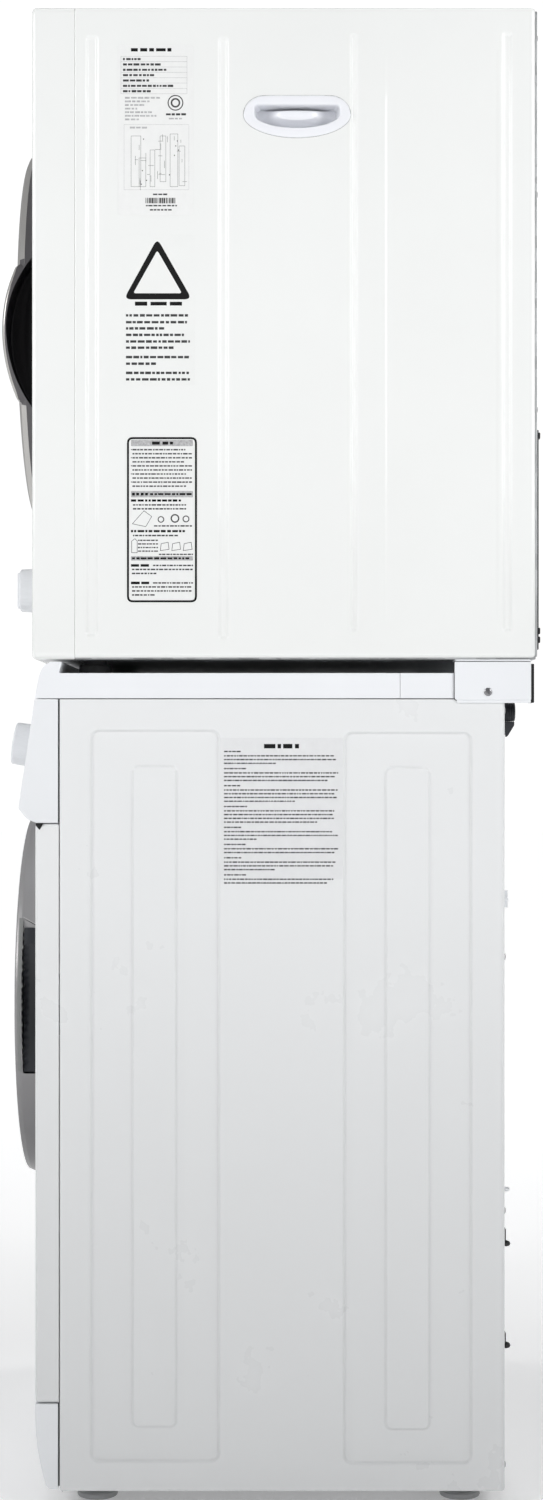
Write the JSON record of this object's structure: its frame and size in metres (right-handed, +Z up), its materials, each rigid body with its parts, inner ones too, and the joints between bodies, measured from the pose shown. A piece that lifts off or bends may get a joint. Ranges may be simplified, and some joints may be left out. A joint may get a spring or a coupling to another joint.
{
  "type": "stacked washer and dryer",
  "caption": "White front-loading washer with a vented dryer stacked on it by side brackets; round grey door rings, pressed side panels, knobs and a detergent drawer.",
  "frame": {"origin": "on the floor under the middle of the stack", "axes": "+X to the right seen from the front, -Y out of the front, +Z up"},
  "size_m": [0.604, 0.5596, 1.528],
  "materials": {
    "cabinet_paint": "white powder coat, fine orange peel",
    "white_plastic": "satin white moulded plastic",
    "grip_plastic": "smooth bluish white moulded plastic",
    "galvanised": "galvanised sheet steel",
    "silver_ring": "silver-grey metallic paint on plastic",
    "dark_ring": "grey metallic paint on plastic",
    "black_window": "glossy black acrylic",
    "bowl_glass": "clear pressed glass",
    "stainless": "brushed stainless sheet",
    "steel": "turned steel",
    "rubber_grey": "moulded grey rubber",
    "rubber_black": "ribbed black rubber",
    "tub_plastic": "filled polypropylene",
    "dark_plastic": "dark grained plastic",
    "concrete": "cast concrete",
    "pcb": "circuit board",
    "motor_steel": "dark painted steel",
    "copper": "rotor with windings",
    "label_film": "printed film sticker",
    "knob_silver": "satin silver-white plastic"
  },
  "bodies": {
    "cabinets": {"washer_cabinet": "cabinet_paint", "washer_rear_cover": "galvanised", "washer_base": "galvanised", "washer_worktop": "white_plastic", "washer_front_panel": "cabinet_paint", "kick_panel": "white_plastic", "washer_fascia": "white_plastic", "control_board": "pcb", "detergent_housing": "tub_plastic", "inlet_valve": "white_plastic", "feet": "tub_plastic", "door_gasket": "rubber_grey", "suspension_springs": "steel", "damper_cylinders": "dark_plastic", "drain_pump": "tub_plastic", "rear_plugs": "dark_plastic", "door_hinges": "steel", "door_lock": "dark_plastic", "screws": "steel", "labels": "label_film", "stacking_brackets": "cabinet_paint", "dryer_cabinet": "cabinet_paint", "dryer_front_panel": "cabinet_paint", "dryer_rear_panel": "galvanised", "dryer_rear_cover": "dark_plastic", "dryer_base": "galvanised", "side_grips": "grip_plastic", "front_bulkhead": "galvanised", "dryer_heater": "galvanised", "dryer_motor": "motor_steel", "blower_housing": "galvanised", "dryer_belt": "rubber_black", "dryer_timer": "tub_plastic"},
    "tub": {"tub_front": "tub_plastic", "tub_rear": "tub_plastic", "counterweights": "concrete", "drum_bearings": "steel", "washer_motor": "motor_steel", "washer_belt": "rubber_black", "damper_rods": "steel"},
    "washer_door": {"washer_door_frame": "dark_ring", "washer_door_glass": "bowl_glass", "washer_door_inner": "white_plastic"},
    "washer_drum": {"washer_drum": "stainless", "drum_lifters": "white_plastic", "drum_spider": "steel"},
    "motor_rotor": {"motor_rotor": "copper"},
    "detergent_drawer": {"detergent_drawer": "white_plastic"},
    "program_knob": {"program_knob": "white_plastic"},
    "power_button": {"power_button": "white_plastic"},
    "start_button": {"start_button": "knob_silver"},
    "pump_filter": {"pump_filter": "dark_plastic"},
    "filter_flap": {"filter_flap": "white_plastic"},
    "dryer_door": {"dryer_door_frame": "silver_ring", "dryer_door_window": "black_window"},
    "dryer_drum": {"dryer_drum": "stainless"},
    "blower_fan": {"blower_fan": "dark_plastic"},
    "idler_pulley": {"idler_pulley": "white_plastic"},
    "timer_knob": {"timer_knob": "knob_silver"},
    "lint_filter": {"lint_filter": "white_plastic"}
  },
  "joints": [
    {"name": "tub_bounce", "type": "slide", "parent": "cabinets", "child": "tub", "axis": [0, 0, 1], "range_m": [-0.006, 0.006], "stiffness_N_per_m": 30000, "springref_m": 0.00556, "deforming": ["suspension_springs", "door_gasket"]},
    {"name": "drum_spin", "type": "hinge", "parent": "tub", "child": "washer_drum", "pos_m": [0, 0, 0.496], "axis": [0, 1, 0], "continuous": true},
    {"name": "motor_spin", "type": "hinge", "parent": "tub", "child": "motor_rotor", "pos_m": [-0.06, 0.1, 0.165], "axis": [0, 1, 0], "continuous": true},
    {"name": "washer_door_hinge", "type": "hinge", "parent": "cabinets", "child": "washer_door", "pos_m": [-0.209, -0.24, 0.496], "axis": [0, 0, -1], "range_deg": [0, 105]},
    {"name": "drawer_slide", "type": "slide", "parent": "cabinets", "child": "detergent_drawer", "axis": [0, -1, 0], "range_m": [0, 0.125]},
    {"name": "program_knob_turn", "type": "hinge", "parent": "cabinets", "child": "program_knob", "pos_m": [0.17, -0.24369, 0.775], "axis": [0, 0.9889, -0.1487], "continuous": true},
    {"name": "power_button_press", "type": "slide", "parent": "cabinets", "child": "power_button", "axis": [0, 0.9889, -0.1487], "range_m": [0, 0.0015], "stiffness_N_per_m": 600, "springref_m": -0.0008},
    {"name": "start_button_press", "type": "slide", "parent": "cabinets", "child": "start_button", "axis": [0, 0.9889, -0.1487], "range_m": [0, 0.0015], "stiffness_N_per_m": 600, "springref_m": -0.0008},
    {"name": "pump_filter_unscrew", "type": "hinge", "parent": "cabinets", "child": "pump_filter", "pos_m": [0.22, -0.2, 0.062], "axis": [0, -1, 0], "range_deg": [0, 90]},
    {"name": "filter_flap_hinge", "type": "hinge", "parent": "cabinets", "child": "filter_flap", "pos_m": [0.22, -0.2294, 0.0334], "axis": [1, 0, 0], "range_deg": [0, 85]},
    {"name": "dryer_door_hinge", "type": "hinge", "parent": "cabinets", "child": "dryer_door", "pos_m": [-0.217, -0.245, 1.238], "axis": [0, 0, -1], "range_deg": [0, 105]},
    {"name": "dryer_drum_spin", "type": "hinge", "parent": "cabinets", "child": "dryer_drum", "pos_m": [0, 0, 1.238], "axis": [0, 1, 0], "continuous": true},
    {"name": "blower_spin", "type": "hinge", "parent": "cabinets", "child": "blower_fan", "pos_m": [-0.11, 0, 0.94], "axis": [0, 1, 0], "continuous": true},
    {"name": "idler_spin", "type": "hinge", "parent": "cabinets", "child": "idler_pulley", "pos_m": [-0.0045, -0.032, 0.94727], "axis": [0, 1, 0], "continuous": true},
    {"name": "timer_knob_turn", "type": "hinge", "parent": "cabinets", "child": "timer_knob", "pos_m": [0.19, -0.24, 0.941], "axis": [0, 1, 0], "range_deg": [0, 330]},
    {"name": "lint_filter_lift", "type": "slide", "parent": "cabinets", "child": "lint_filter", "axis": [0, 0, 1], "range_m": [0, 0.075]}
  ],
  "couplings": [
    {"joint": "motor_spin", "follows": "drum_spin", "ratio": 10},
    {"joint": "blower_spin", "follows": "dryer_drum_spin", "ratio": 20.833},
    {"joint": "idler_spin", "follows": "dryer_drum_spin", "ratio": -15.625}
  ]
}
